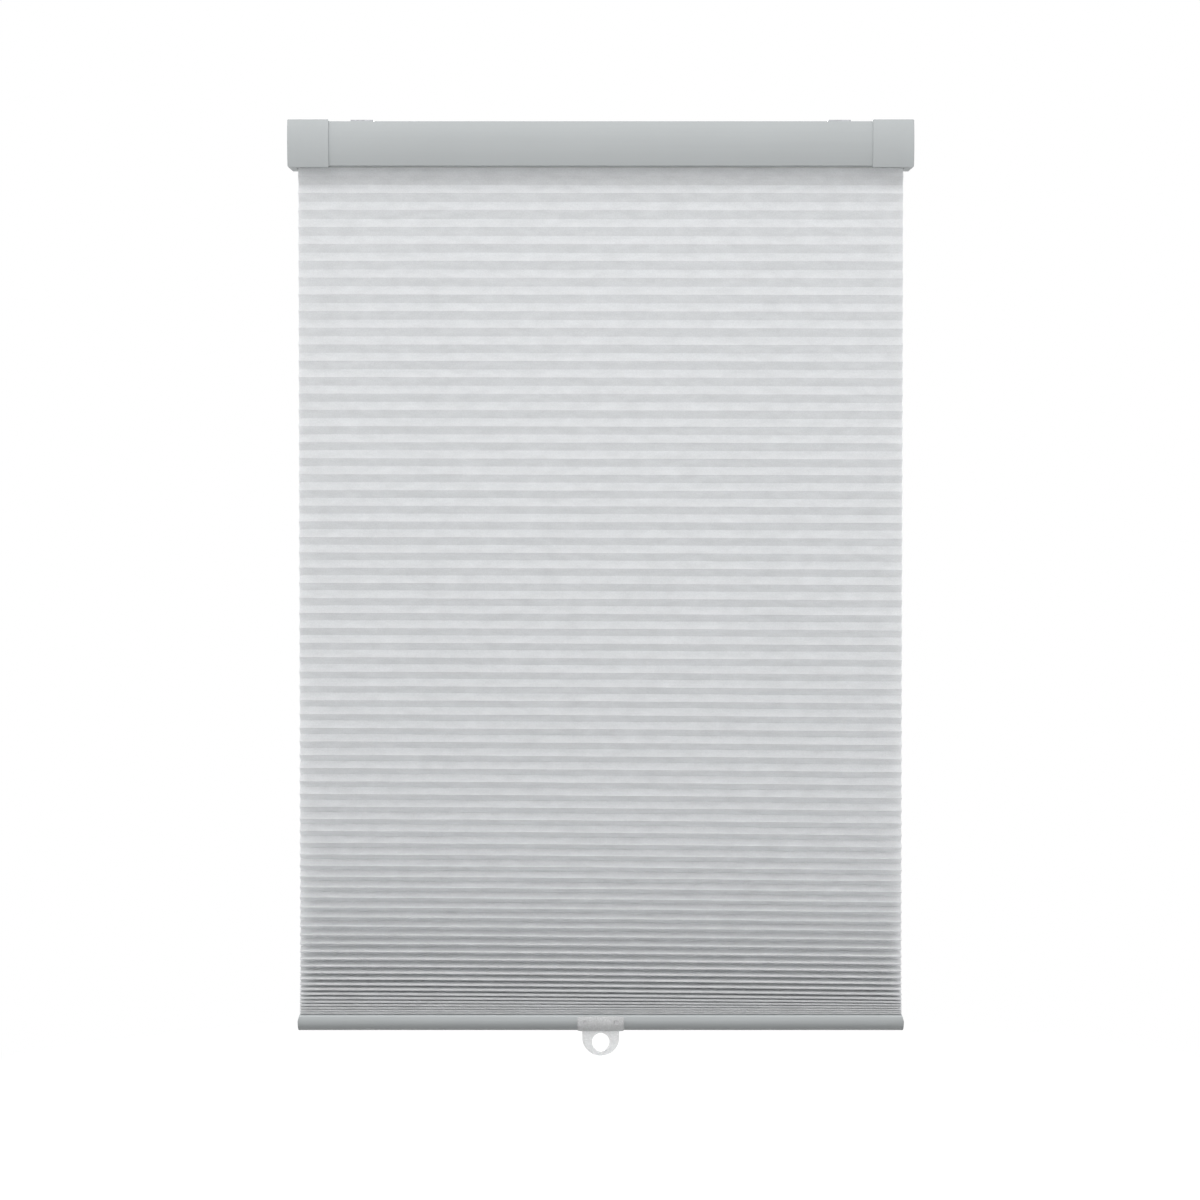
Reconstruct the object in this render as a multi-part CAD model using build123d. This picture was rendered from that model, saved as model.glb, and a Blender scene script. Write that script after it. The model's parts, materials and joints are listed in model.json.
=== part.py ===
from build123d import *
import math
import os

# Cordless honeycomb pleated blind, in millimetres.
# X runs along the headrail, -Y is the room side and +Z is up.
# The origin is the centre of the bracket screw pattern, in the plane that the brackets are screwed to.

# Overall sizes
headrail_width = 685.8
fabric_side_gap = 9.9
rest_drop = 987.3

# Headrail extrusion
channel_top_drop = 2.4
channel_height = 48.3
channel_depth = 46.4
channel_bulge = 3.0
channel_wall = 1.4
lip_width = 6.0
hat_width = 24.0
hat_wall = 1.2

# Slot and chamber that hold a fabric strip, in the headrail and in the bottom rail
slot_width = 8.6
chamber_width = 21.6
chamber_height = 2.0

# Fabric strips
strip_flange_width = 20.0
strip_flange_thickness = 1.4
strip_web_width = 7.6
strip_proud = 0.5

# Headrail end caps
cap_length = 45.0
cap_wall = 1.65
cap_clearance = 0.15
cap_end_wall = 2.5
cap_edge_chamfer = 0.8
cap_notch_clearance = 1.0

# Brackets
bracket_inset = 80.9
bracket_width = 25.0
bracket_thickness = 1.6
bracket_hole_spacing = 16.0
bracket_hole_radius = 2.25
bracket_leg_clearance = 0.5
bracket_hook_reach = 3.6

# Honeycomb fabric
cell_count = 69
cloth_thickness = 0.3
glue_strip_width = 6.5
face_length = 10.3
shut_pitch = 2.59
open_pitch_gain = 18.85
half_open_cell = 21.1
opening_power = 1.56
steepest_face_sine = 0.999
punch_width = 3.4

# Lift cords
cord_inset = 143.0
cord_radius = 0.6

# Lift rod and cord spools
rod_across_flats = 5.0
rod_fit = 0.05
rod_overhang = 6.0
axis_height = 14.1
winding_radius = 9.0
barrel_gap = 0.3
barrel_length = 24.0
flange_radius = 11.5
flange_thickness = 1.5
cord_to_flange = 4.0
journal_radius = 5.0
journal_overhang = 1.0
journal_gap = 0.3
end_float = 0.6

# Fit of the cradles and the motor between the walls of the channel
mechanism_clearance = 0.3

# Spool cradles
cradle_floor = 1.5
cradle_plate = 2.0
cradle_side_wall = 1.6
cradle_wall_height = 8.0
cradle_plate_height = 20.0

# Cord guides in the headrail floor
guide_flange_radius = 4.6
guide_flange_thickness = 0.9
guide_tube_radius = 2.6
guide_bore_radius = 1.5
guide_clearance = 0.15
strip_hole_radius = 1.8

# Spring motor
drum_spacing = 18.0
drum_width = 12.0
drum_flange_radius = 8.6
drum_flange_thickness = 1.2
output_barrel_radius = 5.6
storage_barrel_radius = 4.6
storage_journal_radius = 3.6
coil_radius = 7.4
coil_gap = 0.3
spring_thickness = 0.4
motor_wall = 2.0
motor_side_wall = 1.2
motor_floor = 1.5
motor_height = 26.0
motor_side_height = 4.0
cover_thickness = 1.6
cover_skirt = 5.0

# Bottom rail
rail_height = 18.9
rail_back = 15.0
rail_wall = 1.4
rail_shelf = 11.5
rail_front_radius = 13.5
rail_front_offset = 1.5
rail_front_drop = 6.0
rail_shoulder_drop = 2.2
rail_shelf_wall_share = 0.7
rail_back_radius = 2.0
rail_floor_wall = 1.2

# Bottom rail end caps
rail_cap_thickness = 2.5
rail_cap_chamfer = 0.4
rail_cap_top_edge = 0.5
rail_cap_slope_drop = 7.0
rail_plug_length = 8.0
rail_plug_wall = 1.2
rail_plug_clearance = 0.2

# Ballast bar in the bottom rail
ballast_inset = 53.0
ballast_depth = 14.0
ballast_height = 3.0
ballast_back = 12.0

# Cord anchors under the bottom rail's chamber
anchor_flange_radius = 4.0
anchor_flange_thickness = 1.6
anchor_tube_radius = 2.2
anchor_clearance = 0.2
anchor_closed_end = 0.8

# Pull handle
handle_gap = 0.15
handle_thickness = 2.0
handle_plate_width = 51.4
handle_plate_drop = 1.5
handle_corner_radius = 2.5
handle_tab_radius = 20.5
handle_tab_drop = 7.0
handle_tab_thickness = 2.4
handle_rim_width = 2.0
handle_rim_height = 0.5
finger_hole_half_width = 9.7
finger_hole_half_height = 10.2
finger_hole_drop = 12.2
handle_screw_x = 17.1
handle_screw_drop = 8.1
screw_head_radius = 2.4
screw_head_height = 1.1
screw_shank_radius = 1.2
screw_length = 7.4
screw_clearance = 0.2

SIDES = {"left": -1, "right": 1}

# Levels and places worked out from the sizes above
fabric_width = headrail_width - 2 * fabric_side_gap
rail_width = fabric_width + 2 * rail_cap_thickness
ballast_length = fabric_width - 2 * ballast_inset
bracket_x = headrail_width / 2 - bracket_inset
cord_x = fabric_width / 2 - cord_inset
channel_top = -channel_top_drop
channel_bottom = channel_top - channel_height
channel_length = headrail_width - 2 * cap_end_wall
chamber_bottom = channel_bottom + channel_wall
chamber_top = chamber_bottom + chamber_height
hat_top = chamber_top + hat_wall
front_edge = -channel_depth / 2 + channel_bulge
opening_front = front_edge + lip_width
opening_back = channel_depth / 2 - lip_width
mechanism_front = front_edge + channel_wall + mechanism_clearance
mechanism_back = channel_depth / 2 - channel_wall - mechanism_clearance
axis_z = hat_top + axis_height
axis_y = winding_radius
barrel_radius = winding_radius - cord_radius - barrel_gap
spool_outer = cord_x + cord_to_flange + flange_thickness
spool_inner = cord_x + cord_to_flange - barrel_length - flange_thickness
fabric_top = channel_bottom - strip_proud
rail_top = -rest_drop
rail_bottom = rail_top - rail_height
fabric_bottom = rail_top + strip_proud
rail_chamber_top = rail_top - rail_wall
rail_chamber_bottom = rail_chamber_top - chamber_height
rail_floor = rail_chamber_bottom - rail_floor_wall
rail_front_z = rail_top - rail_front_drop
anchor_bottom = rail_floor - anchor_flange_thickness


def rectangle(y0, y1, z0, z1):
    """Face between two depths and two heights, in a section across the blind."""
    return Pos((y0 + y1) / 2, (z0 + z1) / 2) * Rectangle(y1 - y0, z1 - z0)


def along(section, x0, x1):
    """Extrude a section drawn in depth and height from one X to another."""
    return extrude(Plane.YZ.offset(x0) * section, x1 - x0)


def centred(section, length):
    """Extrude a section by a length that is centred on the blind."""
    return along(section, -length / 2, length / 2)


def upright(radius, x, y, z0, z1):
    """Vertical cylinder between two heights."""
    return Pos(x, y, (z0 + z1) / 2) * Cylinder(radius, z1 - z0)


def turned(profile, y, z):
    """Solid turned about an axis along X, from (x, radius) points."""
    outline = make_face(Polyline(*profile, close=True))
    return Pos(0, y, z) * revolve(outline, Axis.X)


def rod_section(clearance):
    """Square section of the lift rod, grown all round by a clearance."""
    side = rod_across_flats + 2 * clearance
    return Pos(axis_y, axis_z) * Rectangle(side, side)


def write(shape, node):
    """Write one sub-part."""
    shape.label = node
    export_step(shape, f"parts/{node}.step")


# Headrail
def headrail_outline(grow):
    """Outer section of the headrail with its swelling front, grown by a distance."""
    top = channel_top + grow
    bottom = channel_bottom - grow
    back = channel_depth / 2 + grow
    front = front_edge - grow
    crown = -channel_depth / 2 - grow
    swell = ThreePointArc((front, bottom), (crown, (top + bottom) / 2), (front, top))
    rest = Polyline((front, top), (back, top), (back, bottom), (front, bottom))
    return make_face([swell, rest])


def fabric_slot(outside, inside):
    """Slot in a wall for the web of a fabric strip."""
    return rectangle(-slot_width / 2, slot_width / 2, min(outside, inside), max(outside, inside))


def headrail_channel():
    """Extruded trough, open between its top lips, with a raised hat over the fabric slot."""
    section = headrail_outline(0) - headrail_outline(-channel_wall)
    section -= rectangle(opening_front, opening_back, channel_top - channel_wall, channel_top)
    hat = rectangle(-hat_width / 2, hat_width / 2, chamber_bottom, hat_top)
    hat -= rectangle(-chamber_width / 2, chamber_width / 2, chamber_bottom, chamber_top)
    section = section + hat - fabric_slot(channel_bottom, chamber_bottom)
    channel = centred(section, channel_length)
    hole = guide_tube_radius + guide_clearance
    for side in SIDES.values():
        channel -= upright(hole, side * cord_x, 0, chamber_top, hat_top)
    return channel


def headrail_cap(side):
    """Moulded end cap that slides over the end of the extrusion."""
    inside = headrail_width / 2 - cap_length
    outside = headrail_width / 2
    cap = along(headrail_outline(cap_clearance + cap_wall), inside, outside)
    cap = chamfer(cap.faces().sort_by(Axis.X)[-1].edges(), cap_edge_chamfer)
    cap -= along(headrail_outline(cap_clearance), inside, outside - cap_end_wall)
    cap -= cap_fabric_notch(inside)
    return cap if side > 0 else cap.mirror(Plane.YZ)


def cap_fabric_notch(inside):
    """Cut in the cap's floor that clears the fabric and its strip."""
    half = glue_strip_width / 2 + face_length
    end = fabric_width / 2 + cap_notch_clearance
    low = channel_bottom - cap_clearance - cap_wall
    return along(rectangle(-half, half, low, channel_bottom - cap_clearance), inside, end)


def bracket(side):
    """Bent steel bracket whose two legs hook under the lips of the channel."""
    front = opening_front + bracket_leg_clearance
    back = opening_back - bracket_leg_clearance
    hook_top = channel_top - channel_wall
    hook_bottom = hook_top - bracket_thickness
    section = rectangle(front, back, -bracket_thickness, 0)
    section += rectangle(front, front + bracket_thickness, hook_bottom, 0)
    section += rectangle(back - bracket_thickness, back, hook_bottom, 0)
    section += rectangle(front - bracket_hook_reach, front, hook_bottom, hook_top)
    section += rectangle(back, back + bracket_hook_reach, hook_bottom, hook_top)
    middle = side * bracket_x
    body = along(section, middle - bracket_width / 2, middle + bracket_width / 2)
    for y in (-bracket_hole_spacing / 2, bracket_hole_spacing / 2):
        body -= upright(bracket_hole_radius, middle, y, -bracket_thickness, 0)
    return body


# Fabric and the strips that hold its ends
def fabric_strip(lip, web_end):
    """Strip of T section: its flange lies inside the lips and its web comes out of the slot."""
    inward = 1 if lip > web_end else -1
    flange = sorted((lip, lip + inward * strip_flange_thickness))
    web = sorted((lip, web_end))
    section = rectangle(-strip_flange_width / 2, strip_flange_width / 2, *flange)
    section += rectangle(-strip_web_width / 2, strip_web_width / 2, *web)
    strip = centred(section, fabric_width)
    low, high = min(flange + web), max(flange + web)
    for side in SIDES.values():
        strip -= upright(strip_hole_radius, side * cord_x, 0, low, high)
    return strip


def cell_levels():
    """Heights of the glue strips, from the bottom up: cells open as the weight under them grows."""
    pitches = []
    for cell in range(cell_count):
        load = cell**opening_power
        opened = load / (load + half_open_cell**opening_power)
        pitches.append(shut_pitch + open_pitch_gain * opened)
    scale = (fabric_top - fabric_bottom) / sum(pitches)
    levels = [fabric_bottom]
    for pitch in pitches:
        levels.append(levels[-1] + pitch * scale)
    return levels


def cell_slope(low, high):
    """Angle of a cell's faces above the horizontal, from the height of the cell."""
    return math.asin(min((high - low) / 2 / face_length, steepest_face_sine))


def fabric_outline(levels):
    """Zigzag outline of the whole stack of cells."""
    half_strip = glue_strip_width / 2
    back = []
    for low, high in zip(levels, levels[1:]):
        ridge = half_strip + face_length * math.cos(cell_slope(low, high))
        back.append((half_strip, low))
        back.append((ridge, (low + high) / 2))
    back.append((half_strip, levels[-1]))
    front = [(-y, z) for y, z in reversed(back)]
    return make_face(Polyline(*back, *front, close=True))


def cell_hollow(low, high):
    """Six-sided hollow of one cell, one cloth thickness inside its outline."""
    slope = cell_slope(low, high)
    half_strip = glue_strip_width / 2
    valley = half_strip - cloth_thickness * math.tan(slope / 2)
    ridge = half_strip + face_length * math.cos(slope) - cloth_thickness / math.sin(slope)
    floor = low + cloth_thickness
    roof = high - cloth_thickness
    middle = (low + high) / 2
    back = [(valley, floor), (ridge, middle), (valley, roof)]
    front = [(-y, z) for y, z in reversed(back)]
    return make_face(Polyline(*back, *front, close=True))


def cellular_fabric():
    """One stack of open cells, with a punched hole in every glue strip for each lift cord."""
    levels = cell_levels()
    section = fabric_outline(levels)
    section -= [cell_hollow(low, high) for low, high in zip(levels, levels[1:])]
    cloth = centred(section, fabric_width)
    drop = fabric_top - fabric_bottom
    punch = Rectangle(punch_width, punch_width)
    for side in SIDES.values():
        cloth -= Pos(side * cord_x, 0, fabric_bottom) * extrude(punch, drop)
    return cloth


# Lift cords, spools and their cradles
def lift_cord(side):
    """Straight run of cord from the front of its spool down to its anchor."""
    end = anchor_bottom + anchor_closed_end
    return upright(cord_radius, side * cord_x, 0, end, axis_z)


def cord_spool(side):
    """Spool with two flanges and a journal at each end."""
    outer = spool_outer
    inner = spool_inner
    reach = end_float + cradle_plate + journal_overhang
    profile = [
        (inner - reach, 0),
        (inner - reach, journal_radius),
        (inner, journal_radius),
        (inner, flange_radius),
        (inner + flange_thickness, flange_radius),
        (inner + flange_thickness, barrel_radius),
        (outer - flange_thickness, barrel_radius),
        (outer - flange_thickness, flange_radius),
        (outer, flange_radius),
        (outer, journal_radius),
        (outer + reach, journal_radius),
        (outer + reach, 0),
    ]
    spool = turned(profile, axis_y, axis_z)
    spool -= along(rod_section(rod_fit), inner - reach, outer + reach)
    return spool if side > 0 else spool.mirror(Plane.YZ)


def spool_cradle(side):
    """Open cradle that stands on the hat and carries the spool in two notches."""
    x0 = spool_inner - end_float - cradle_plate
    x1 = spool_outer + end_float + cradle_plate
    front = mechanism_front
    back = mechanism_back
    wall = cradle_side_wall
    top = hat_top + cradle_plate_height
    cradle = along(rectangle(front, back, hat_top, top), x0, x1)
    pocket = rectangle(front + wall, back - wall, hat_top + cradle_floor, top)
    cradle -= along(pocket, x0 + cradle_plate, x1 - cradle_plate)
    above = rectangle(front, back, hat_top + cradle_wall_height, top)
    cradle -= along(above, x0 + cradle_plate, x1 - cradle_plate)
    cradle -= along(bearing_notch(axis_y, journal_radius, top), x0, x1)
    hole = guide_flange_radius + guide_clearance
    cradle -= upright(hole, cord_x, 0, hat_top, hat_top + cradle_floor)
    return cradle if side > 0 else cradle.mirror(Plane.YZ)


def bearing_notch(y, radius, top):
    """Round-bottomed notch, open upwards, for a journal of the given radius."""
    bore = radius + journal_gap
    notch = Pos(y, axis_z) * Circle(bore)
    return notch + rectangle(y - bore, y + bore, axis_z, top)


def cord_guide(side):
    """Eyelet through the headrail floor that the cord runs down."""
    x = side * cord_x
    guide = upright(guide_tube_radius, x, 0, chamber_top, hat_top)
    guide += upright(guide_flange_radius, x, 0, hat_top, hat_top + guide_flange_thickness)
    return guide - upright(guide_bore_radius, x, 0, chamber_top, hat_top + guide_flange_thickness)


def lift_rod():
    """Square rod that turns both spools with the output drum."""
    reach = spool_outer + end_float + cradle_plate + journal_overhang + rod_overhang
    return centred(rod_section(0), 2 * reach)


# Spring motor
storage_y = axis_y - drum_spacing
drum_end = drum_width / 2 + drum_flange_thickness
motor_inside = drum_end + end_float
motor_outside = motor_inside + motor_wall
motor_top = hat_top + motor_height


def drum(y, barrel, journal):
    """Flanged drum between the motor's end plates."""
    end = motor_outside + journal_overhang
    half = [(0, barrel), (drum_width / 2, barrel), (drum_width / 2, drum_flange_radius)]
    half += [(drum_end, drum_flange_radius), (drum_end, journal), (end, journal), (end, 0)]
    mirrored = [(-x, r) for x, r in reversed(half)]
    return turned(mirrored[:-1] + half[1:], y, axis_z)


def output_drum():
    """Drum on the lift rod that the spring is wound onto."""
    end = motor_outside + journal_overhang
    return drum(axis_y, output_barrel_radius, journal_radius) - centred(rod_section(rod_fit), 2 * end)


def storage_drum():
    """Drum that the spring goes back to as the blind rises."""
    return drum(storage_y, storage_barrel_radius, storage_journal_radius)


def power_spring():
    """Flat spring: a coil round each drum, joined by a strip that crosses between them."""
    section = Sketch()
    for y, barrel in ((axis_y, output_barrel_radius), (storage_y, storage_barrel_radius)):
        section += Pos(y, axis_z) * (Circle(coil_radius) - Circle(barrel + coil_gap))
    mean = coil_radius - spring_thickness / 2
    lean = math.asin(2 * mean / drum_spacing)
    half_run = math.sqrt((drum_spacing / 2) ** 2 - mean**2)
    middle = (axis_y + storage_y) / 2
    crossing = Rectangle(2 * half_run, spring_thickness)
    section += Pos(middle, axis_z) * Rot(0, 0, -math.degrees(lean)) * crossing
    for y, barrel in ((axis_y, output_barrel_radius), (storage_y, storage_barrel_radius)):
        section -= Pos(y, axis_z) * Circle(barrel + coil_gap)
    return centred(section, drum_width - 2 * coil_gap)


def spring_motor_base():
    """Tray with two end plates that carry both drums in notches."""
    front = mechanism_front
    back = mechanism_back
    wall = motor_side_wall
    box = centred(rectangle(front, back, hat_top, motor_top), 2 * motor_outside)
    pocket = rectangle(front + wall, back - wall, hat_top + motor_floor, motor_top)
    box -= centred(pocket, 2 * motor_inside)
    above = rectangle(front, back, hat_top + motor_side_height, motor_top)
    box -= centred(above, 2 * motor_inside)
    for y, radius in ((axis_y, journal_radius), (storage_y, storage_journal_radius)):
        box -= centred(bearing_notch(y, radius, motor_top), 2 * motor_outside)
    return box


def spring_motor_cover():
    """Lid on the motor's end plates, with a skirt over its front and back."""
    front = mechanism_front
    back = mechanism_back
    lid = rectangle(front, back, motor_top, motor_top + cover_thickness)
    cover = centred(lid, 2 * motor_outside)
    skirt = rectangle(front, front + cover_thickness, motor_top - cover_skirt, motor_top)
    skirt += rectangle(back - cover_thickness, back, motor_top - cover_skirt, motor_top)
    return cover + centred(skirt, 2 * (motor_inside - mechanism_clearance))


# Bottom rail
def front_arc_y(radius, z):
    """Depth of the bottom rail's round front at a height, for a radius about its centre."""
    return -rail_front_offset - math.sqrt(radius**2 - (z - rail_front_z) ** 2)


def bottom_rail_outline(inset):
    """Section of the bottom rail: flat top, sloping shoulder and round front."""
    top = rail_top - inset
    bottom = rail_bottom + inset
    back = rail_back - inset
    radius = rail_front_radius - inset
    shoulder = rail_top - rail_shoulder_drop
    shelf = -rail_shelf + inset * rail_shelf_wall_share
    start = (front_arc_y(radius, shoulder), shoulder)
    crown = (front_arc_y(radius, rail_front_z), rail_front_z)
    end = (front_arc_y(radius, bottom), bottom)
    nose = ThreePointArc(start, crown, end)
    rest = Polyline(end, (back, bottom), (back, top), (shelf, top), start)
    return make_face([nose, rest])


def bottom_rail():
    """Hollow extrusion with a chamber for the fabric strip under its top."""
    section = bottom_rail_outline(0)
    rear = section.vertices().group_by(Axis.X)[-1]
    section = fillet(rear, rail_back_radius)
    section -= bottom_rail_outline(rail_wall)
    half = chamber_width / 2 + rail_floor_wall
    hat = rectangle(-half, half, rail_floor, rail_chamber_top)
    hat -= rectangle(-chamber_width / 2, chamber_width / 2, rail_chamber_bottom, rail_chamber_top)
    section = section + hat - fabric_slot(rail_top, rail_chamber_top)
    rail = centred(section, fabric_width)
    hole = anchor_tube_radius + anchor_clearance
    for side in SIDES.values():
        rail -= upright(hole, side * cord_x, 0, rail_floor, rail_chamber_bottom)
    for hole in handle_screw_places():
        rail -= hole * Cylinder(screw_shank_radius + screw_clearance, 2 * rail_front_radius)
    return rail


def rail_cap(side):
    """End cap with a sloping shoulder and a hollow plug that goes into the bottom rail."""
    end = rail_width / 2
    face = end - rail_cap_thickness
    cap = along(bottom_rail_outline(0), face, end)
    cap = chamfer(cap.faces().sort_by(Axis.X)[-1].edges(), rail_cap_chamfer)
    slope = [(face + rail_cap_top_edge, rail_top), (end, rail_top), (end, rail_top - rail_cap_slope_drop)]
    cap -= extrude(Plane.XZ * make_face(Polyline(*slope, close=True)), 2 * rail_back, both=True)
    below = rectangle(-rail_back, rail_back, rail_bottom, rail_floor - rail_plug_clearance)
    outer = bottom_rail_outline(rail_wall + rail_plug_clearance) & below
    inner = bottom_rail_outline(rail_wall + rail_plug_clearance + rail_plug_wall)
    inner &= Pos(0, -rail_plug_wall) * below
    cap += along(outer - inner, face - rail_plug_length, face)
    return cap if side > 0 else cap.mirror(Plane.YZ)


def ballast_bar():
    """Flat steel bar that lies on the floor of the bottom rail."""
    floor = rail_bottom + rail_wall
    bar = rectangle(ballast_back - ballast_depth, ballast_back, floor, floor + ballast_height)
    return centred(bar, ballast_length)


def cord_anchor(side):
    """Stepped plug under the chamber that holds the end of a cord in a blind bore."""
    x = side * cord_x
    anchor = upright(anchor_flange_radius, x, 0, anchor_bottom, rail_floor)
    anchor += upright(anchor_tube_radius, x, 0, rail_floor, rail_chamber_bottom)
    bore = cord_radius + anchor_clearance
    return anchor - upright(bore, x, 0, anchor_bottom + anchor_closed_end, rail_chamber_bottom)


# Pull handle
screw_z = rail_top - handle_screw_drop
plate_inner_radius = rail_front_radius + handle_gap
plate_outer_radius = plate_inner_radius + handle_thickness
head_face_y = front_arc_y(plate_outer_radius, screw_z)
head_seat_y = head_face_y + screw_head_height
tab_front = front_arc_y(plate_outer_radius, rail_bottom)
tab_z = rail_bottom - handle_tab_drop
finger_hole_z = rail_bottom - finger_hole_drop


def handle_screw_places():
    """Axes of the two handle screws, with the local Z pointing into the rail."""
    facing = Plane(origin=(0, 0, 0), x_dir=(1, 0, 0), z_dir=(0, 1, 0))
    return [Pos(x, head_seat_y, screw_z) * facing.location for x in (-handle_screw_x, handle_screw_x)]


def handle_side_section():
    """Curved plate that hugs the rail's front, with the tab hanging from its lower edge."""
    centre = Pos(-rail_front_offset, rail_front_z)
    ring = centre * (Circle(plate_outer_radius) - Circle(plate_inner_radius))
    crown = -rail_front_offset - plate_outer_radius
    tab_back = tab_front + handle_tab_thickness
    plate = ring & rectangle(crown, tab_back, rail_bottom - handle_rim_height, rail_top)
    return plate + rectangle(tab_front, tab_back, tab_z - 2 * handle_tab_radius, rail_bottom)


def handle_front_outline(inset):
    """Plate and round-ended tab seen from the front, in X and Z."""
    height = rail_height - handle_plate_drop
    outline = RectangleRounded(handle_plate_width, height, handle_corner_radius)
    plate = Pos(0, rail_bottom + height / 2) * outline
    radius = handle_tab_radius - inset
    tab = Pos(0, tab_z) * Circle(radius)
    neck = Pos(0, (rail_front_z + tab_z) / 2) * Rectangle(2 * radius, rail_front_z - tab_z)
    return plate, tab + neck


def finger_hole(grow):
    """Oval finger hole, in X and Z."""
    return Pos(0, finger_hole_z) * Ellipse(finger_hole_half_width + grow, finger_hole_half_height + grow)


def pull_handle():
    """Clear moulded handle: plate, tab with a raised rim and an oval finger hole."""
    through = Plane(origin=(0, 0, 0), x_dir=(1, 0, 0), z_dir=(0, -1, 0))
    plate, tab = handle_front_outline(0)
    reach = 2 * rail_back
    front = extrude(through * (plate + tab - finger_hole(0)), reach)
    handle = centred(handle_side_section(), handle_plate_width) & front
    inner_tab = handle_front_outline(handle_rim_width)[1] - finger_hole(handle_rim_width)
    below = Pos(0, tab_z - reach / 2 + handle_tab_drop - handle_rim_width) * Rectangle(2 * reach, reach)
    recess = extrude(through * (inner_tab & below), reach)
    handle -= Pos(0, tab_front + handle_rim_height, 0) * recess
    for place in handle_screw_places():
        handle -= place * Cylinder(screw_shank_radius + screw_clearance, 2 * rail_front_radius)
        seat = Cylinder(screw_head_radius + screw_clearance, 2 * screw_head_height)
        handle -= place * Pos(0, 0, -screw_head_height) * seat
    return handle


def handle_screws():
    """Two pan-head screws that hold the handle to the bottom rail."""
    screws = []
    for place in handle_screw_places():
        head = Pos(0, 0, -screw_head_height / 2) * Cylinder(screw_head_radius, screw_head_height)
        head = chamfer(head.edges().sort_by(Axis.Z)[0], screw_head_height / 3)
        shank = Pos(0, 0, screw_length / 2) * Cylinder(screw_shank_radius, screw_length)
        screws.append(place * (head + shank))
    return Compound(children=screws)


os.makedirs("parts", exist_ok=True)

write(headrail_channel(), "headrail_channel")
write(fabric_strip(chamber_bottom, fabric_top), "top_fabric_strip")
write(cellular_fabric(), "cellular_fabric")
write(fabric_strip(rail_chamber_top, fabric_bottom), "bottom_fabric_strip")
write(bottom_rail(), "bottom_rail")
write(ballast_bar(), "ballast_bar")
write(lift_rod(), "lift_rod")
write(output_drum(), "output_drum")
write(storage_drum(), "storage_drum")
write(power_spring(), "power_spring")
write(spring_motor_base(), "spring_motor_base")
write(spring_motor_cover(), "spring_motor_cover")
write(pull_handle(), "pull_handle")
write(handle_screws(), "handle_screws")
for name, side in SIDES.items():
    write(headrail_cap(side), f"{name}_headrail_cap")
    write(bracket(side), f"{name}_bracket")
    write(spool_cradle(side), f"{name}_spool_cradle")
    write(cord_spool(side), f"{name}_cord_spool")
    write(cord_guide(side), f"{name}_cord_guide")
    write(lift_cord(side), f"{name}_lift_cord")
    write(cord_anchor(side), f"{name}_cord_anchor")
    write(rail_cap(side), f"{name}_rail_cap")
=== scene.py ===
import bisect
import json
import math

import bpy
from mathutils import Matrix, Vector, noise


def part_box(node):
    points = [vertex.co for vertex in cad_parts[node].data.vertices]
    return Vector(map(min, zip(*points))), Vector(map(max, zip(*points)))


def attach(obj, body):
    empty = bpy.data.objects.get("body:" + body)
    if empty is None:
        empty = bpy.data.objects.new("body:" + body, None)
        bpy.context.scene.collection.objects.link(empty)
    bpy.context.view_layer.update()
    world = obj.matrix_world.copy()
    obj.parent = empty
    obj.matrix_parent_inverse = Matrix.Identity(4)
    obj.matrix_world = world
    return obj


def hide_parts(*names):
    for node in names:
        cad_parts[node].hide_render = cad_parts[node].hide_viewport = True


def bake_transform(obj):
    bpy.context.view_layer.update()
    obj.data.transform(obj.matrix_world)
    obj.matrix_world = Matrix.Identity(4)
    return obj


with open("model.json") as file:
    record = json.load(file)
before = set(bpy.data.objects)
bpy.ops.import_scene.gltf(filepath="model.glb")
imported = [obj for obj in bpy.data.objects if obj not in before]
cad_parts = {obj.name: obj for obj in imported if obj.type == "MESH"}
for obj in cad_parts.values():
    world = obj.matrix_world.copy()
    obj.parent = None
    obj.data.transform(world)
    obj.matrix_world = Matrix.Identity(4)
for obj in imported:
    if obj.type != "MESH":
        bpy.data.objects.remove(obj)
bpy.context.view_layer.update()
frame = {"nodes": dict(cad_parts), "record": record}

# Cloth of the honeycomb. Lengths are in metres, angles in degrees and lamps in watts.
cell_count = 69
shut_pitch = 0.00259
open_pitch_gain = 0.01885
half_open_cell = 21.1
opening_power = 1.56
steepest_face_sine = 0.999
glue_strip_width = 0.0065
face_length = 0.0103
cloth_thickness = 0.0003
closed_pitch = 0.0024
punch_width = 0.0034
light_let_through = 0.76
face_spans = 6
columns = 21
cloth_smooth_angle = 24
sharp_cell = 0.0095
nose_power = 2
nose_slope = 0.4
upper_face_dip = 0.00055
lower_face_dip = 0.00015
ripple_height = 0.0002
ripple_depth = 0.0002
ripple_length = 0.2
ripple_step = 31.7
height_seed = 3.0
depth_seed = 8.0
uv_step = 7.0

# Slack that lets the right half of the cloth hang lower near the bottom rail
slack_drop = 0.0056
slack_rise = 0.022
slack_half_height = 0.43
slack_side_power = 1.4
slack_height_power = 3
same_level = 1e-9

# Lift cords and the turns wound on their spools
cord_radius = 0.0006
cord_sides = 10
cord_steps = 48
cord_smooth_angle = 60
winding_radius = 0.009
winding_pitch = 0.00135
winding_turns = 6
winding_steps = 28

# Power spring: middle of its coils in depth and height, and the pitch of its turns
coil_y = 0.009
coil_z = -0.032
coil_pitch = 0.0004

# Camera that stands a little above the middle of the blind
camera_place = (-0.0008, -2.8172, -0.3507)
camera_tilt = 1.45
camera_lens = 76.4
camera_sensor = 36.0
camera_shift = -0.08

# Floor. It fades to white and gives back more light with the distance from the blind: for light it is
# painted dark near the blind, a painted shade that darkens the light bounced onto the bottom rail's
# underside.
floor_height = -1.32
floor_width = 18.0
floor_parts = 8
floor_tones = (0.9, 0.94)
floor_fade = (0.5, 1.5)
floor_bounce = (0.1, 0.9)
floor_bounce_reach = (1.0, 4.0)

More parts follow.
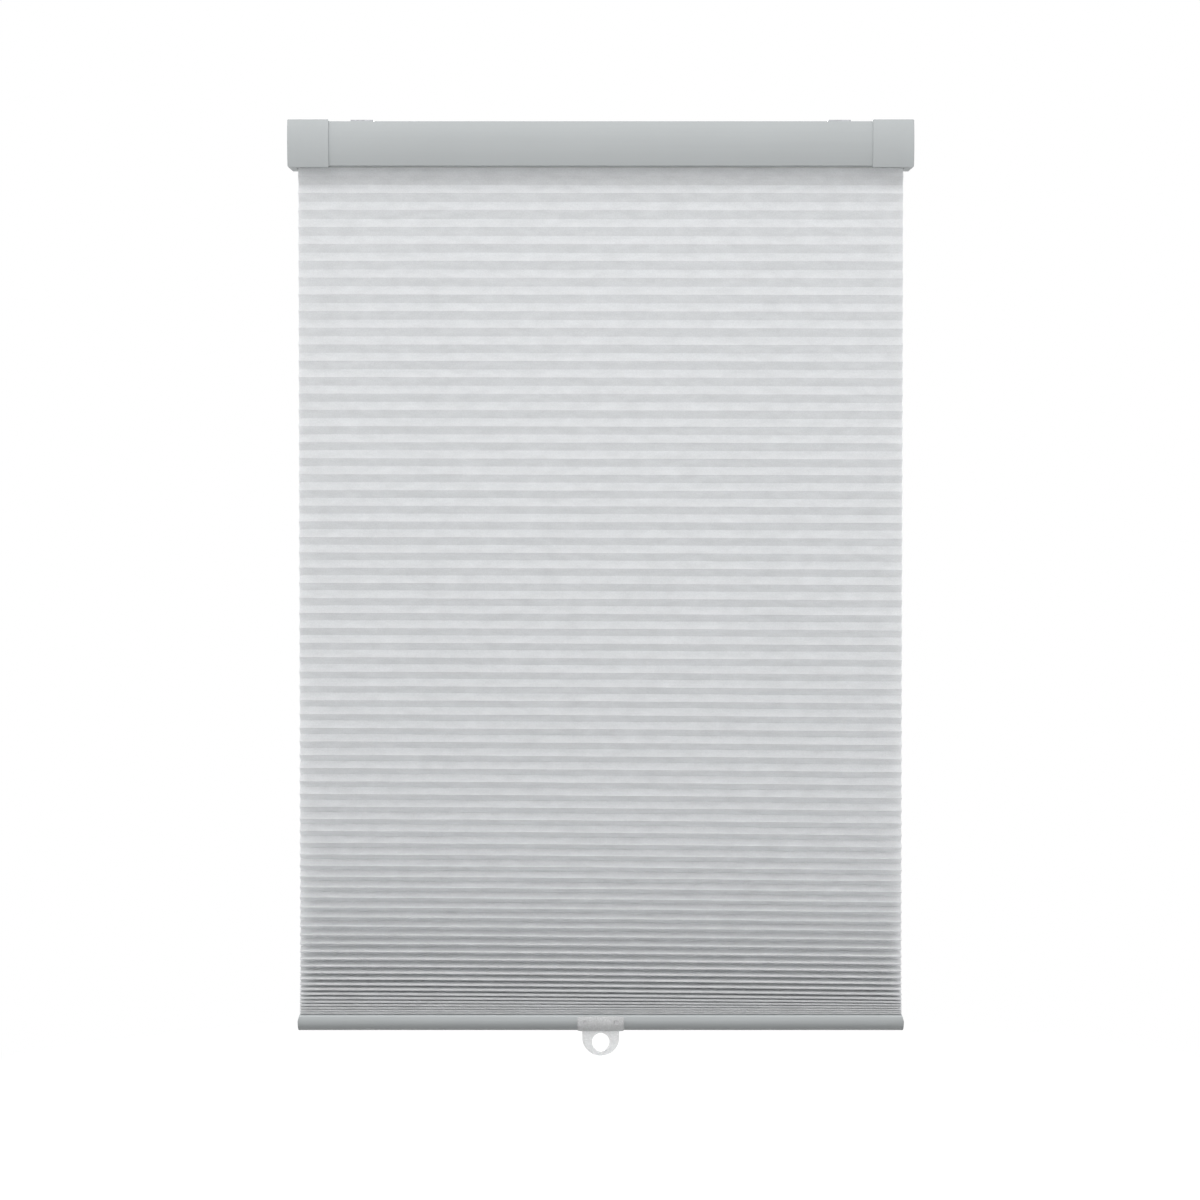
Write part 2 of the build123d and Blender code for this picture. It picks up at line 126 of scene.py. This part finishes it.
# World's light from below and above, and the lamps: place, aim, size and power
world_light = (0.35, 0.92)
lamps = {
    "key": ((-0.8, -4.0, 4.4), (0, 0, -0.5), (3.8, 2.4), 155),
    "behind": ((0.0, 4.5, 1.0), (0, 0, -0.6), (3.2, 2.2), 182),
}

lowest_cloth, highest_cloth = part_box("cellular_fabric")
cloth_width = highest_cloth.x - lowest_cloth.x


# Materials
def new_material(name, roughness, metallic=0.0):
    """Material with a Principled shader. Returns the material, its node tree and the shader."""
    material = bpy.data.materials.new(name)
    material.use_nodes = True
    tree = material.node_tree
    shader = tree.nodes["Principled BSDF"]
    shader.inputs["Roughness"].default_value = roughness
    shader.inputs["Metallic"].default_value = metallic
    return material, tree, shader


def add(tree, kind, settings=None, **inputs):
    """New node with some of its settings and inputs given. A socket given as an input is linked."""
    made = tree.nodes.new(kind)
    for key, value in (settings or {}).items():
        setattr(made, key, value)
    for key, value in inputs.items():
        socket = made.inputs[key.replace("_", " ")]
        if isinstance(value, bpy.types.NodeSocket):
            tree.links.new(value, socket)
        else:
            socket.default_value = value
    return made


def calculate(tree, operation, first, second=0.0):
    """Math node on two values or sockets."""
    made = tree.nodes.new("ShaderNodeMath")
    made.operation = operation
    for socket, value in zip(made.inputs, (first, second)):
        if isinstance(value, bpy.types.NodeSocket):
            tree.links.new(value, socket)
        else:
            socket.default_value = value
    return made.outputs[0]


def stretched(tree, source, scale):
    """Coordinates of the material, scaled along each axis. They are object or UV coordinates."""
    where = add(tree, "ShaderNodeTexCoord").outputs[source]
    return add(tree, "ShaderNodeMapping", Vector=where, Scale=scale).outputs["Vector"]


def grain(tree, coordinates, scale, detail=3.0, roughness=0.55, distortion=0.0, dimensions="3D"):
    """Soft noise from 0 to 1."""
    settings = {"noise_dimensions": dimensions}
    made = add(tree, "ShaderNodeTexNoise", settings, Vector=coordinates, Scale=scale, Detail=detail)
    made.inputs["Roughness"].default_value = roughness
    made.inputs["Distortion"].default_value = distortion
    return made.outputs["Fac"]


def ranged(tree, value, low, high, start=0.3, end=0.7):
    """Value from start to end turned into one from low to high."""
    made = add(tree, "ShaderNodeMapRange", Value=value)
    for key, number in zip(("From Min", "From Max", "To Min", "To Max"), (start, end, low, high)):
        made.inputs[key].default_value = number
    return made.outputs["Result"]


def weighed(tree, first, second, share):
    """Two values added, with a share for the first and the rest for the second."""
    one = calculate(tree, "MULTIPLY", first, share)
    other = calculate(tree, "MULTIPLY", second, 1 - share)
    return calculate(tree, "ADD", one, other)


def shade(colour, factor):
    """Colour made lighter or darker."""
    return tuple(channel * factor for channel in colour)


def toned(tree, factor, colour, darkest, lightest):
    """Colour that a factor takes from a dark to a light tone."""
    made = add(tree, "ShaderNodeMix", {"data_type": "RGBA"})
    tree.links.new(factor, made.inputs[0])
    made.inputs[6].default_value = (*shade(colour, darkest), 1)
    made.inputs[7].default_value = (*shade(colour, lightest), 1)
    return made.outputs[2]


def bumped(tree, shader, height, strength, distance):
    """Bump on the shader's normal."""
    made = add(tree, "ShaderNodeBump", Height=height, Strength=strength, Distance=distance)
    tree.links.new(made.outputs["Normal"], shader.inputs["Normal"])


def linear(red, green, blue):
    """Linear colour of one given from 0 to 255 as it looks on a screen."""
    return tuple((((c / 255) + 0.055) / 1.055) ** 2.4 for c in (red, green, blue))


def coated_metal(name, colour, roughness):
    """Satin powder coat: faint orange peel, soft clouds of tone and a trace of draw lines."""
    material, tree, shader = new_material(name, roughness)
    shader.inputs["Specular IOR Level"].default_value = 0.35
    space = stretched(tree, "Object", (1, 1, 1))
    lines = grain(tree, stretched(tree, "Object", (2, 420, 420)), 1.0, 2.0)
    clouds = grain(tree, space, 9.0, 3.0)
    peel = grain(tree, space, 1400.0, 2.0)
    mixed = weighed(tree, clouds, lines, 0.6)
    colours = toned(tree, ranged(tree, mixed, 0, 1), colour, 0.975, 1.025)
    tree.links.new(colours, shader.inputs["Base Color"])
    tree.links.new(ranged(tree, clouds, roughness - 0.04, roughness + 0.05), shader.inputs["Roughness"])
    height = calculate(tree, "ADD", peel, calculate(tree, "MULTIPLY", lines, 0.35))
    bumped(tree, shader, height, 0.18, 0.00006)
    return material


def moulded_plastic(name, colour, roughness, spread=0.03):
    """Moulded plastic with a fine spark-eroded texture and a slight flow pattern."""
    material, tree, shader = new_material(name, roughness)
    shader.inputs["Specular IOR Level"].default_value = 0.3
    space = stretched(tree, "Object", (1, 1, 1))
    flow = grain(tree, space, 26.0, 4.0, 0.6, 0.8)
    skin = grain(tree, space, 2600.0, 2.0)
    colours = toned(tree, ranged(tree, flow, 0, 1), colour, 1 - spread, 1 + spread)
    tree.links.new(colours, shader.inputs["Base Color"])
    tree.links.new(ranged(tree, skin, roughness - 0.05, roughness + 0.07), shader.inputs["Roughness"])
    bumped(tree, shader, skin, 0.22, 0.00005)
    return material


def cellular_cloth(name, colour):
    """Soft non-woven polyester: matted fibres, thin and thick places, and light that shines through."""
    material, tree, shader = new_material(name, 0.85)
    shader.inputs["Specular IOR Level"].default_value = 0.0
    fibres = grain(tree, stretched(tree, "UV", (320, 900, 1)), 1.0, 2.0, 0.65, dimensions="2D")
    crossing = grain(tree, stretched(tree, "UV", (1000, 500, 1)), 1.0, 1.0, 0.6, dimensions="2D")
    mottle = grain(tree, stretched(tree, "UV", (45, 110, 1)), 1.0, 2.0, 0.6, dimensions="2D")
    matted = weighed(tree, fibres, crossing, 0.5)
    tone = weighed(tree, matted, mottle, 0.6)
    colours = toned(tree, ranged(tree, tone, 0, 1, 0.36, 0.64), colour, 0.94, 1.04)
    tree.links.new(colours, shader.inputs["Base Color"])
    bumped(tree, shader, fibres, 0.35, 0.0001)
    through = add(tree, "ShaderNodeBsdfTranslucent", Color=colours)
    mixed = add(tree, "ShaderNodeMixShader")
    mixed.inputs[0].default_value = light_let_through
    tree.links.new(shader.outputs[0], mixed.inputs[1])
    tree.links.new(through.outputs[0], mixed.inputs[2])
    tree.links.new(mixed.outputs[0], tree.nodes["Material Output"].inputs["Surface"])
    return material


def plated_steel(name, colour, roughness):
    """Zinc-plated steel: small crystals that differ in tone, and fine scratches."""
    material, tree, shader = new_material(name, roughness, 0.9)
    space = stretched(tree, "Object", (1, 1, 1))
    crystals = add(tree, "ShaderNodeTexVoronoi", Vector=space, Scale=420.0).outputs["Color"]
    tone = add(tree, "ShaderNodeSeparateColor", Color=crystals).outputs[0]
    scratches = grain(tree, stretched(tree, "Object", (60, 1800, 1800)), 1.0, 2.0)
    colours = toned(tree, tone, colour, 0.86, 1.1)
    tree.links.new(colours, shader.inputs["Base Color"])
    tree.links.new(ranged(tree, tone, roughness - 0.06, roughness + 0.12, 0, 1), shader.inputs["Roughness"])
    bumped(tree, shader, scratches, 0.25, 0.00004)
    return material


def drawn_metal(name, colour, roughness, stretch):
    """Bare metal with drawing lines along one axis."""
    material, tree, shader = new_material(name, roughness, 1.0)
    lines = grain(tree, stretched(tree, "Object", stretch), 1.0, 3.0)
    colours = toned(tree, ranged(tree, lines, 0, 1), colour, 0.88, 1.08)
    tree.links.new(colours, shader.inputs["Base Color"])
    tree.links.new(ranged(tree, lines, roughness - 0.07, roughness + 0.09), shader.inputs["Roughness"])
    bumped(tree, shader, lines, 0.3, 0.00004)
    return material


def wound_spring(name, colour):
    """Blued spring steel with one fine ring for each turn of the coils."""
    material, tree, shader = new_material(name, 0.32, 1.0)
    where = add(tree, "ShaderNodeTexCoord").outputs["Object"]
    parts = add(tree, "ShaderNodeSeparateXYZ", Vector=where).outputs
    across = calculate(tree, "SUBTRACT", calculate(tree, "ABSOLUTE", parts["Y"]), coil_y)
    above = calculate(tree, "SUBTRACT", parts["Z"], coil_z)
    wide = calculate(tree, "MULTIPLY", across, across)
    high = calculate(tree, "MULTIPLY", above, above)
    from_middle = calculate(tree, "SQRT", calculate(tree, "ADD", wide, high))
    turns = calculate(tree, "MULTIPLY", from_middle, 2 * math.pi / coil_pitch)
    factor = ranged(tree, calculate(tree, "SINE", turns), 0, 1, -1, 1)
    tree.links.new(toned(tree, factor, colour, 0.55, 1.15), shader.inputs["Base Color"])
    bumped(tree, shader, factor, 0.5, 0.0001)
    return material


def braided_cord(name, colour):
    """Round braid: slanting strands that cross, from the cord's own coordinates."""
    material, tree, shader = new_material(name, 0.7)
    waves = []
    for slant in (1, -1):
        space = stretched(tree, "UV", (6, 1400 * slant, 1))
        wave = add(tree, "ShaderNodeTexWave", {"bands_direction": "DIAGONAL"}, Vector=space, Scale=1.0)
        waves.append(wave.outputs["Fac"])
    strands = calculate(tree, "MAXIMUM", *waves)
    tree.links.new(toned(tree, strands, colour, 0.72, 1.05), shader.inputs["Base Color"])
    bumped(tree, shader, strands, 0.5, 0.0002)
    return material


def clear_plastic(name, colour):
    """Clear moulded plastic with a lightly frosted skin and faint flow lines."""
    material, tree, shader = new_material(name, 0.24)
    space = stretched(tree, "Object", (1, 1, 1))
    flow = grain(tree, space, 70.0, 3.0, 0.5, 0.6)
    skin = grain(tree, space, 1900.0, 2.0)
    colours = toned(tree, ranged(tree, flow, 0, 1), colour, 0.985, 1.0)
    tree.links.new(colours, shader.inputs["Base Color"])
    tree.links.new(ranged(tree, skin, 0.2, 0.3), shader.inputs["Roughness"])
    shader.inputs["IOR"].default_value = 1.49
    shader.inputs["Transmission Weight"].default_value = 0.45
    bumped(tree, shader, flow, 0.08, 0.0002)
    return material


paint = linear(193, 197, 198)
materials = {
    # The headrail's coat (0.95) and the caps' plastic (0.97) take the rail's paint a little darker: painted
    # shade that makes up for the stronger light on them.
    "headrail_metal": coated_metal("headrail_coat_painted_shade", shade(paint, 0.95), 0.42),
    "rail_metal": coated_metal("rail_coat", paint, 0.4),
    "end_cap_plastic": moulded_plastic("cap_plastic", shade(paint, 0.97), 0.5, spread=0.015),
    "cellular_cloth": cellular_cloth("honeycomb_cloth", linear(242, 242.5, 243)),
    "strip_plastic": moulded_plastic("strip_plastic", linear(225, 226, 222), 0.45),
    "bracket_steel": plated_steel("zinc_plate", (0.56, 0.57, 0.59), 0.34),
    "rod_aluminium": drawn_metal("drawn_aluminium", (0.68, 0.69, 0.71), 0.3, (25, 2400, 2400)),
    "spool_plastic": moulded_plastic("spool_plastic", linear(236, 236, 231), 0.32),
    "cradle_plastic": moulded_plastic("cradle_plastic", linear(219, 221, 219), 0.42),
    "cover_plastic": moulded_plastic("cover_plastic", linear(92, 95, 98), 0.5),
    "spring_steel": wound_spring("wound_spring", (0.34, 0.35, 0.39)),
    "lift_cord_braid": braided_cord("cord_braid", linear(236, 238, 239)),
    "clear_plastic": clear_plastic("clear_plastic", (0.96, 0.965, 0.97)),
    "screw_steel": drawn_metal("screw_steel", (0.5, 0.5, 0.51), 0.4, (1500, 1500, 1500)),
}

slot_of_node = {row["node"]: row["material_slot"] for row in frame["record"]["subparts"]}
for node_name, node_object in frame["nodes"].items():
    node_object.data.materials.clear()
    node_object.data.materials.append(materials[slot_of_node[node_name]])


# Mesh building
def mesh_object(name, points, faces, uvs, slot, smooth_angle):
    """Object from points and faces, with one UV for each point and smooth shading up to an angle."""
    mesh = bpy.data.meshes.new(name)
    mesh.from_pydata(points, [], faces)
    layer = mesh.uv_layers.new(name="rest")
    for loop in mesh.loops:
        layer.data[loop.index].uv = uvs[loop.vertex_index]
    mesh.materials.append(materials[slot])
    made = bpy.data.objects.new(name, mesh)
    bpy.context.scene.collection.objects.link(made)
    mesh.shade_smooth()
    mesh.set_sharp_from_angle(angle=math.radians(smooth_angle))
    return made


def shares_of_travel(piece):
    """Piece with its place baked into its points."""
    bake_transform(piece)


# Honeycomb cloth
def cell_pitches():
    """Heights of the cells from the bottom up: each opens as the weight under it grows."""
    pitches = []
    for cell in range(cell_count):
        load = cell**opening_power
        pitches.append(shut_pitch + open_pitch_gain * load / (load + half_open_cell**opening_power))
    scale = (highest_cloth.z - lowest_cloth.z) / sum(pitches)
    return [pitch * scale for pitch in pitches]


def face_points(ridge, valley, half_height, nose, dip):
    """Points of a face from its ridge to its valley, as (depth, height above the ridge)."""
    slope = math.atan2(half_height, ridge - valley)
    points = []
    for step in range(face_spans + 1):
        share = (step / face_spans) ** 2
        inward = dip * math.sin(math.pi * share)
        y = ridge + (valley - ridge) * share - inward * math.sin(slope)
        z = half_height * share**nose - inward * math.cos(slope)
        points.append((y, z))
    return points


def cell_side(low, high, inset):
    """Back side of one cell from its lower to its upper glue strip, set in by the cloth's thickness."""
    slope = math.asin(min((high - low) / 2 / face_length, steepest_face_sine))
    nose = min(1.0, ((high - low) / sharp_cell) ** nose_power)
    valley = glue_strip_width / 2 - inset * math.tan(slope / 2)
    ridge = glue_strip_width / 2 + face_length * math.cos(slope) - inset / max(math.sin(slope), nose_slope)
    middle = (low + high) / 2
    half_height = (high - low) / 2 - inset
    lower = face_points(ridge, valley, half_height, nose, lower_face_dip)
    upper = face_points(ridge, valley, half_height, nose, upper_face_dip)
    side = [(y, middle - z) for y, z in reversed(lower)]
    return side + [(y, middle + z) for y, z in upper[1:]]


def cloth_levels():
    """Heights of the glue strips from the bottom up."""
    levels = [lowest_cloth.z]
    for pitch in cell_pitches():
        levels.append(levels[-1] + pitch)
    return levels


def slack_at(share, height):
    """Drop of the cloth at a share of its width, for a height above the bottom rail."""
    fade = min(1.0, height / slack_rise) / (1 + (height / slack_half_height) ** slack_height_power)
    return slack_drop * share**slack_side_power * fade


def ripple(share, level, seed):
    """Slow irregularity of a fold along its length."""
    return noise.noise(Vector((share * cloth_width / ripple_length, level * ripple_step, seed)))


def placed(x, y, z, looseness):
    """Point of the cloth with the slack and with the slow ripple of folds that stand open."""
    share = (x - lowest_cloth.x) / cloth_width
    inner = looseness * min(1.0, (highest_cloth.z - z) / slack_rise)
    down = slack_at(share, z - lowest_cloth.z) - inner * ripple_height * ripple(share, z, height_seed)
    outward = 1 + inner * ripple(share, z, depth_seed) * ripple_depth / max(abs(y), ripple_depth)
    return (x, y * outward, z - down)


def cloth_rings(levels):
    """Closed loops of the section: the outline of the whole stack, then the hollow of each cell."""
    outline_back = []
    for low, high in zip(levels, levels[1:]):
        outline_back += cell_side(low, high, 0.0)[:-1]
    outline_back.append((glue_strip_width / 2, levels[-1]))
    rings = [outline_back + [(-y, z) for y, z in reversed(outline_back)]]
    for low, high in zip(levels, levels[1:]):
        back = cell_side(low, high, cloth_thickness)
        rings.append([(-y, z) for y, z in back] + list(reversed(back)))
    return rings


def cell_at(z, levels):
    """Number of the cell at a height, and how high in that cell it lies, from 0 to 1."""
    cell = min(bisect.bisect_right(levels, z + same_level) - 1, cell_count - 1)
    return cell, (z - levels[cell]) / (levels[cell + 1] - levels[cell])


def travel_share(z, levels):
    """Share of the rail's travel that closes the stack evenly, from 0 at the top to 1 at the rail."""
    cell, within = cell_at(z, levels)
    travel = (levels[-1] - z) - closed_pitch * (cell_count - cell - within)
    return travel / ((levels[-1] - levels[0]) - closed_pitch * cell_count)


def looseness_at(z, levels):
    """How far open the cell at a height is, from 0 to 1."""
    cell = cell_at(z, levels)[0]
    return (levels[cell + 1] - levels[cell]) / (levels[-1] - levels[-2])


def cord_middle(side):
    """Place of a lift cord across the blind."""
    low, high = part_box(f"{side}_lift_cord")
    return (low.x + high.x) / 2


def column_places():
    """Places of the columns across the cloth, and the numbers of those where the cords' holes are."""
    even = [lowest_cloth.x + cloth_width * column / columns for column in range(columns + 1)]
    starts = [cord_middle(side) - punch_width / 2 for side in ("left", "right")]
    places = sorted(even + starts + [start + punch_width for start in starts])
    return places, [places.index(start) for start in starts]


def strip_surfaces(rings):
    """Lower and upper surface of each glue strip from the bottom up, as (ring, step of the ring)."""
    roof = 2 * face_spans
    floor = 4 * face_spans + 1
    lower = [(0, len(rings[0]) - 1)] + [(1 + cell, roof) for cell in range(cell_count)]
    upper = [(1 + cell, floor) for cell in range(cell_count)] + [(0, cell_count * roof)]
    return lower, upper


def strip_faces(quad, column, holes):
    """Faces of one surface of a glue strip in one column. holes gives each hole's corners by its column."""
    a, b, c, d = quad
    if column in holes:
        near_a, near_d, near_b, near_c = holes[column]
        return [(a, b, near_b, near_a), (near_d, near_c, c, d)]
    if column + 1 in holes:
        near_a, near_d = holes[column + 1][:2]
        return [(a, b, near_a, near_d, c, d)]
    if column - 1 in holes:
        near_b, near_c = holes[column - 1][2:]
        return [(a, b, c, d, near_c, near_b)]
    return [quad]


def hole_walls(below, above):
    """Four sides of a cord's hole through a glue strip."""
    low = [below[corner] for corner in (0, 2, 3, 1)]
    high = [above[corner] for corner in (1, 3, 2, 0)]
    return [(low[k - 1], low[k], high[k], high[k - 1]) for k in range(4)]


def end_faces(rings, starts):
    """Faces of the cut edge of the cloth, between the outline and the hollows, at one end."""
    side = 2 * face_spans
    outline_start = starts[0]
    outline_length = len(rings[0])
    faces = []
    for cell in range(cell_count):
        hollow = starts[1 + cell]
        hollow_length = len(rings[1 + cell])
        for step in range(side):
            outer = outline_start + cell * side + step
            inner = hollow + hollow_length - 1 - step
            faces.append((outer, outer + 1, inner - 1, inner))
            mirrored = outline_start + outline_length - 1 - cell * side - step
            faces.append((mirrored - 1, mirrored, hollow + step, hollow + step + 1))
        floor_back = outline_start + cell * side
        floor_front = outline_start + outline_length - 1 - cell * side
        faces.append((floor_back, hollow + hollow_length - 1, hollow, floor_front))
        if cell:
            below = starts[cell]
            below_length = len(rings[cell])
            faces.append((floor_back, floor_front, below + side, below + below_length - 1 - side))
    top_back = outline_start + cell_count * side
    below = starts[cell_count]
    below_length = len(rings[cell_count])
    faces.append((top_back, top_back + 1, below + side, below + below_length - 1 - side))
    return faces


def honeycomb_cloth():
    """The whole stack of cells as one closed cloth, a cloth thickness apart inside and outside."""
    levels = cloth_levels()
    rings = cloth_rings(levels)
    places, hole_columns = column_places()
    lower, upper = strip_surfaces(rings)
    points, uvs, shares, starts = [], [], [], []
    corners = {surface: {} for surface in lower + upper}

    def add_point(x, y, z, run):
        """New point of the cloth. Returns its number."""
        points.append(placed(x, y, z, looseness_at(z, levels)))
        uvs.append((x, run))
        shares.append(travel_share(z, levels))
        return len(points) - 1

    runs = []
    for ring in rings:
        starts.append(len(points))
        along = [ring[0][1] * uv_step]
        for (y0, z0), (y1, z1) in zip(ring, ring[1:]):
            along.append(along[-1] + math.hypot(y1 - y0, z1 - z0))
        runs.append(along)
        for x in places:
            for (y, z), run in zip(ring, along):
                add_point(x, y, z, run)
    for number, step in corners:
        ring, along = rings[number], runs[number]
        y, z = ring[step]
        gap = (along[(step + 1) % len(ring)] - along[step]) / 2
        for column in hole_columns:
            found = []
            for x in places[column : column + 2]:
                for side in (1, -1):
                    edge = side * math.copysign(punch_width / 2, y)
                    found.append(add_point(x, edge, z, along[step] + gap * (1 - edge / y)))
            corners[(number, step)][column] = found
    faces = []
    for number, ring in enumerate(rings):
        size = len(ring)
        for column in range(len(places) - 1):
            first = starts[number] + column * size
            for step in range(size):
                following = (step + 1) % size
                quad = (first + step, first + size + step, first + size + following, first + following)
                faces += strip_faces(quad, column, corners.get((number, step), {}))
    for below, above in zip(lower, upper):
        for column in hole_columns:
            faces += hole_walls(corners[below][column], corners[above][column])
    # Every face so far looks into the cloth, so it is turned round before the two ends join
    faces = [face[::-1] for face in faces]
    faces += [face[::-1] for face in end_faces(rings, starts)]
    last = [start + (len(places) - 1) * len(ring) for start, ring in zip(starts, rings)]
    faces += end_faces(rings, last)
    cloth = mesh_object("honeycomb_cloth", points, faces, uvs, "cellular_cloth", cloth_smooth_angle)
    shares_of_travel(cloth)
    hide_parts("cellular_fabric")


# Lift cords
def tube(route, radius, sides):
    """Points, faces and UVs of a closed round tube along a route."""
    points, faces, uvs = [], [], []
    run = 0.0
    for index, place in enumerate(route):
        before = route[max(index - 1, 0)]
        after = route[min(index + 1, len(route) - 1)]
        heading = (after - before).normalized()
        across = heading.cross(Vector((1, 0, 0))).normalized()
        other = heading.cross(across)
        if index:
            run += (place - before).length
        for side in range(sides):
            angle = 2 * math.pi * side / sides
            points.append(place + radius * (math.cos(angle) * across + math.sin(angle) * other))
            uvs.append((side / sides, run))
    for index in range(len(route) - 1):
        first = index * sides
        for side in range(sides):
            following = (side + 1) % sides
            faces.append((first + side, first + following, first + sides + following, first + sides + side))
    faces.append(tuple(reversed(range(sides))))
    last = (len(route) - 1) * sides
    faces.append(tuple(range(last, last + sides)))
    return points, faces, uvs


def hanging_cord(side):
    """Straight run from the spool's front to the anchor."""
    low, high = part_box(f"{side}_lift_cord")
    route = []
    for step in range(cord_steps + 1):
        route.append(Vector((cord_middle(side), 0, high.z + (low.z - high.z) * step / cord_steps)))
    points, faces, uvs = tube(route, cord_radius, cord_sides)
    cord = mesh_object(f"{side}_hanging_cord", points, faces, uvs, "lift_cord_braid", cord_smooth_angle)
    shares_of_travel(cord)
    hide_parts(f"{side}_lift_cord")


def wound_cord(side, inward):
    """Turns of cord on a spool, ending at the front where the straight run leaves."""
    spool_low, spool_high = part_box(f"{side}_cord_spool")
    centre_y = (spool_low.y + spool_high.y) / 2
    centre_z = (spool_low.z + spool_high.z) / 2
    route = []
    for step in range(winding_turns * winding_steps + 1):
        turn = step / winding_steps
        angle = math.pi - 2 * math.pi * turn
        x = cord_middle(side) + inward * winding_pitch * turn
        y = centre_y + winding_radius * math.cos(angle)
        z = centre_z + winding_radius * math.sin(angle)
        route.append(Vector((x, y, z)))
    points, faces, uvs = tube(route, cord_radius, cord_sides)
    turns = mesh_object(f"{side}_wound_cord", points, faces, uvs, "lift_cord_braid", cord_smooth_angle)
    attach(turns, "lift_rod")


honeycomb_cloth()
for cord_side, inward in (("left", 1), ("right", -1)):
    hanging_cord(cord_side)
    wound_cord(cord_side, inward)


# Floor
def pale_floor():
    """Pale floor that keeps the shadow and fades to white away from the blind. For light it is painted dark
    near the blind: painted shade under it.
    """
    bpy.ops.mesh.primitive_grid_add(x_subdivisions=floor_parts, y_subdivisions=floor_parts, size=floor_width)
    floor = bpy.context.object
    floor.name = "floor"
    floor.location = (0, 0, floor_height)
    material, tree, shader = new_material("pale_floor", 0.8)
    where = add(tree, "ShaderNodeTexCoord").outputs["Object"]
    distance = add(tree, "ShaderNodeVectorMath", {"operation": "LENGTH"}, Vector=where).outputs["Value"]
    fade = ranged(tree, distance, 0, 1, *floor_fade)
    # Painted shade: for light, the floor's colour is dark near the blind and lighter with the distance.
    painted_shade_bounce = ranged(tree, distance, *floor_bounce, *floor_bounce_reach)
    bounce = calculate(tree, "MAXIMUM", painted_shade_bounce, seen_ray(tree))
    tone = calculate(tree, "MULTIPLY", ranged(tree, grain(tree, where, 3.0), *floor_tones), bounce)
    tree.links.new(tone, shader.inputs["Base Color"])
    white = add(tree, "ShaderNodeEmission", Color=(1, 1, 1, 1), Strength=1.0)
    mixed = add(tree, "ShaderNodeMixShader")
    tree.links.new(calculate(tree, "MULTIPLY", fade, seen_ray(tree)), mixed.inputs[0])
    tree.links.new(shader.outputs[0], mixed.inputs[1])
    tree.links.new(white.outputs[0], mixed.inputs[2])
    tree.links.new(mixed.outputs[0], tree.nodes["Material Output"].inputs["Surface"])
    floor.data.materials.append(material)


def seen_ray(tree):
    """1 for rays from the camera and for those that gloss or glass sends on, and 0 for light."""
    rays = add(tree, "ShaderNodeLightPath").outputs
    seen = calculate(tree, "MAXIMUM", rays["Is Camera Ray"], rays["Is Glossy Ray"])
    return calculate(tree, "MAXIMUM", seen, rays["Is Transmission Ray"])


# Light
def area_lamp(name, place, target, size, power):
    """Soft rectangular lamp aimed at a point."""
    light = bpy.data.lights.new(name, "AREA")
    light.shape = "RECTANGLE"
    light.size, light.size_y = size
    light.energy = power
    lamp = bpy.data.objects.new(name, light)
    lamp.location = place
    lamp.rotation_euler = (Vector(target) - Vector(place)).to_track_quat("-Z", "Y").to_euler()
    lamp.visible_camera = False
    bpy.context.scene.collection.objects.link(lamp)


def white_world(from_below, from_above):
    """World that is seen as white and gives light that grows towards the top."""
    world = bpy.data.worlds.new("studio")
    world.use_nodes = True
    bpy.context.scene.world = world
    tree = world.node_tree
    background = tree.nodes["Background"]
    background.inputs["Color"].default_value = (1, 1, 1, 1)
    direction = add(tree, "ShaderNodeTexCoord").outputs["Generated"]
    upward = add(tree, "ShaderNodeSeparateXYZ", Vector=direction).outputs["Z"]
    light = ranged(tree, upward, from_below, from_above, -1, 1)
    tree.links.new(calculate(tree, "MAXIMUM", light, seen_ray(tree)), background.inputs["Strength"])


pale_floor()
white_world(*world_light)
for lamp_name, lamp_values in lamps.items():
    area_lamp(lamp_name, *lamp_values)

# Camera
camera_data = bpy.data.cameras.new("camera")
camera_data.lens = camera_lens
camera_data.sensor_width = camera_sensor
camera_data.shift_y = camera_shift
camera = bpy.data.objects.new("camera", camera_data)
camera.location = camera_place
camera.rotation_euler = (math.radians(90 - camera_tilt), 0, 0)
bpy.context.scene.collection.objects.link(camera)
bpy.context.scene.camera = camera
bpy.context.scene.view_settings.view_transform = "Standard"
